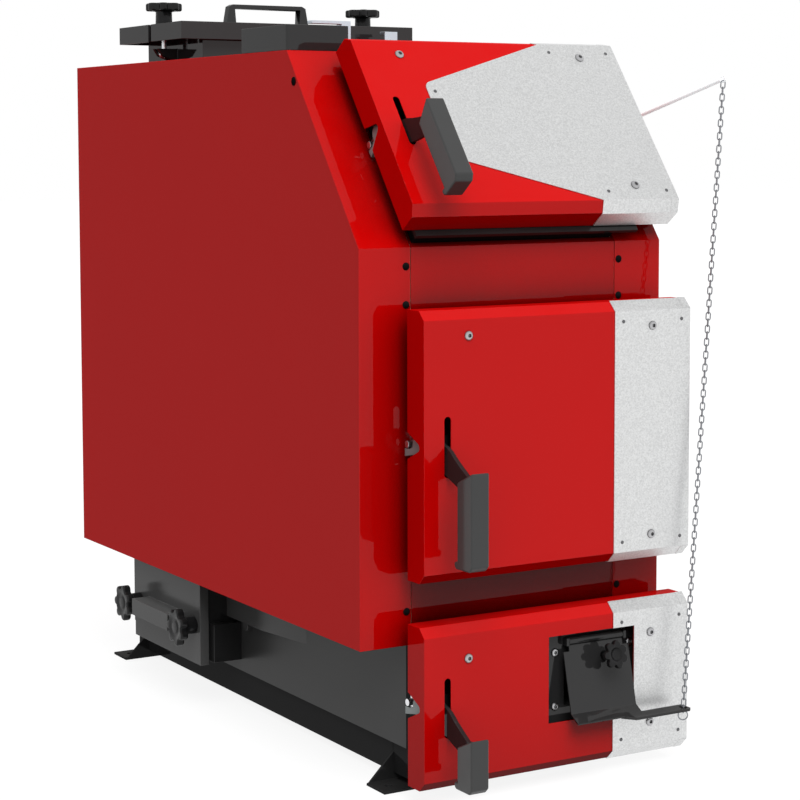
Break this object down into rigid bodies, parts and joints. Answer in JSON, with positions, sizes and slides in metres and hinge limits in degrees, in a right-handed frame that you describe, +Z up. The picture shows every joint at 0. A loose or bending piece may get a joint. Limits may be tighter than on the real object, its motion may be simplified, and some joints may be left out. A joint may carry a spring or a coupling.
{
  "type": "solid fuel boiler",
  "caption": "Upright solid fuel boiler with a sloped loading door, firebox and ash doors on side hinges, chain draught regulator, top and side cleaning hatches and a rear flue outlet",
  "frame": {"origin": "on the floor, under the middle of the overall box", "axes": "X to the right as seen from the front, Y to the rear along the depth, Z up; the doors face -Y"},
  "size_m": [0.627, 1.249, 1.127],
  "materials": {
    "red_enamel": "glossy powder coat",
    "silver_speckle": "light grey hammered powder coat",
    "dark_paint": "satin dark grey heat paint",
    "black_plastic": "matt moulded plastic",
    "zinc": "bright zinc plating",
    "raw_steel": "bare boiler plate",
    "cast_iron": "bare casting",
    "firebrick": "fired clay, dry and rough",
    "mineral_wool": "pressed mineral wool",
    "rope_seal": "braided ceramic rope"
  },
  "bodies": {
    "boiler": {"base_frame": "dark_paint", "boiler_body": "dark_paint", "heat_exchanger": "raw_steel", "door_collars": "dark_paint", "firebricks": "firebrick", "grate_bars": "cast_iron", "ash_pan": "raw_steel", "insulation": "mineral_wool", "left_casing": "red_enamel", "right_casing": "red_enamel", "front_panels": "red_enamel", "top_panel": "red_enamel", "rear_panel": "red_enamel", "casing_screws": "black_plastic", "hinge_brackets": "dark_paint", "door_keepers": "zinc", "flue_collar": "dark_paint", "pipe_sockets": "dark_paint", "top_hatch_neck": "dark_paint", "top_lid": "dark_paint", "lid_handle": "black_plastic", "swing_bolts": "zinc", "top_cover_box": "dark_paint", "top_brackets": "zinc", "side_hatch_neck": "dark_paint", "side_hatch_lid": "dark_paint", "air_duct": "dark_paint", "regulator_body": "zinc"},
    "upper_door": {"upper_door_leaf": "dark_paint", "upper_door_gasket": "rope_seal", "upper_door_shell": "red_enamel", "upper_door_cover": "silver_speckle", "upper_door_screws": "zinc"},
    "middle_door": {"middle_door_leaf": "dark_paint", "middle_door_gasket": "rope_seal", "middle_door_shell": "red_enamel", "middle_door_cover": "silver_speckle", "middle_door_screws": "zinc"},
    "lower_door": {"lower_door_leaf": "dark_paint", "lower_door_gasket": "rope_seal", "lower_door_shell": "red_enamel", "lower_door_cover": "silver_speckle", "lower_door_screws": "zinc", "flap_frame": "dark_paint"},
    "upper_latch_body": {"upper_latch": "dark_paint", "upper_grip": "black_plastic"},
    "middle_latch_body": {"middle_latch": "dark_paint", "middle_grip": "black_plastic"},
    "lower_latch_body": {"lower_latch": "dark_paint", "lower_grip": "black_plastic"},
    "air_flap_body": {"air_flap": "dark_paint"},
    "flap_knob_body": {"flap_knob": "black_plastic"},
    "regulator_arm_body": {"regulator_arm": "zinc"},
    "chain_body": {"chain": "zinc"},
    "regulator_dial_body": {"regulator_dial": "black_plastic"},
    "flue_damper_body": {"flue_damper": "dark_paint"},
    "top_knob_left_body": {"top_knob_left": "black_plastic"},
    "top_knob_right_body": {"top_knob_right": "black_plastic"},
    "side_knob_rear_body": {"side_knob_rear": "black_plastic"},
    "side_knob_front_body": {"side_knob_front": "black_plastic"}
  },
  "joints": [
    {"name": "upper_door_hinge", "type": "hinge", "parent": "boiler", "child": "upper_door", "pos_m": [0.1985, -0.38726, 0.89307], "axis": [0, 0.6002, 0.7998], "range_deg": [0, 85]},
    {"name": "middle_door_hinge", "type": "hinge", "parent": "boiler", "child": "middle_door", "pos_m": [0.1985, -0.4875, 0.4905], "axis": [0, 0, 1], "range_deg": [0, 110]},
    {"name": "lower_door_hinge", "type": "hinge", "parent": "boiler", "child": "lower_door", "pos_m": [0.1985, -0.4875, 0.1355], "axis": [0, 0, 1], "range_deg": [0, 110]},
    {"name": "upper_latch_turn", "type": "hinge", "parent": "upper_door", "child": "upper_latch_body", "pos_m": [-0.1975, -0.40806, 0.90868], "axis": [-1, 0, 0], "range_deg": [0, 40]},
    {"name": "middle_latch_turn", "type": "hinge", "parent": "middle_door", "child": "middle_latch_body", "pos_m": [-0.1975, -0.5135, 0.4905], "axis": [-1, 0, 0], "range_deg": [0, 40]},
    {"name": "lower_latch_turn", "type": "hinge", "parent": "lower_door", "child": "lower_latch_body", "pos_m": [-0.1975, -0.5135, 0.1355], "axis": [-1, 0, 0], "range_deg": [0, 40]},
    {"name": "regulator_arm_swing", "type": "hinge", "parent": "boiler", "child": "regulator_arm_body", "pos_m": [0.2625, -0.2355, 0.908], "axis": [-1, 0, 0], "range_deg": [-1.6, 8], "deforming": ["chain"]},
    {"name": "air_flap_swing", "type": "hinge", "parent": "lower_door", "child": "air_flap_body", "pos_m": [0.0505, -0.5315, 0.2], "axis": [-1, 0, 0], "range_deg": [-6.56, 32.8]},
    {"name": "chain_sway", "type": "hinge", "parent": "regulator_arm_body", "child": "chain_body", "pos_m": [0.2625, -0.5429, 0.98578], "axis": [-1, 0, 0], "range_deg": [-3.82, 0.76]},
    {"name": "flap_knob_turn", "type": "hinge", "parent": "air_flap_body", "child": "flap_knob_body", "pos_m": [0.0625, -0.53865, 0.17497], "axis": [0, -0.9736, 0.2284], "continuous": true},
    {"name": "regulator_dial_turn", "type": "hinge", "parent": "boiler", "child": "regulator_dial_body", "pos_m": [0.2935, -0.2355, 0.908], "axis": [1, 0, 0], "range_deg": [-150, 150]},
    {"name": "flue_damper_turn", "type": "hinge", "parent": "boiler", "child": "flue_damper_body", "pos_m": [-0.0475, 0.5165, 0.88], "axis": [1, 0, 0], "range_deg": [0, 90]},
    {"name": "top_knob_left_turn", "type": "hinge", "parent": "boiler", "child": "top_knob_left_body", "pos_m": [-0.2345, 0.2815, 1.1], "axis": [0, 0, 1], "continuous": true},
    {"name": "top_knob_right_turn", "type": "hinge", "parent": "boiler", "child": "top_knob_right_body", "pos_m": [0.1395, 0.2815, 1.1], "axis": [0, 0, 1], "continuous": true},
    {"name": "side_knob_rear_turn", "type": "hinge", "parent": "boiler", "child": "side_knob_rear_body", "pos_m": [-0.2885, 0.305, 0.135], "axis": [-1, 0, 0], "continuous": true},
    {"name": "side_knob_front_turn", "type": "hinge", "parent": "boiler", "child": "side_knob_front_body", "pos_m": [-0.2885, 0.094, 0.135], "axis": [-1, 0, 0], "continuous": true}
  ],
  "couplings": [
    {"joint": "air_flap_swing", "follows": "regulator_arm_swing", "ratio": 4.1},
    {"joint": "chain_sway", "follows": "regulator_arm_swing", "ratio": -0.4775}
  ]
}
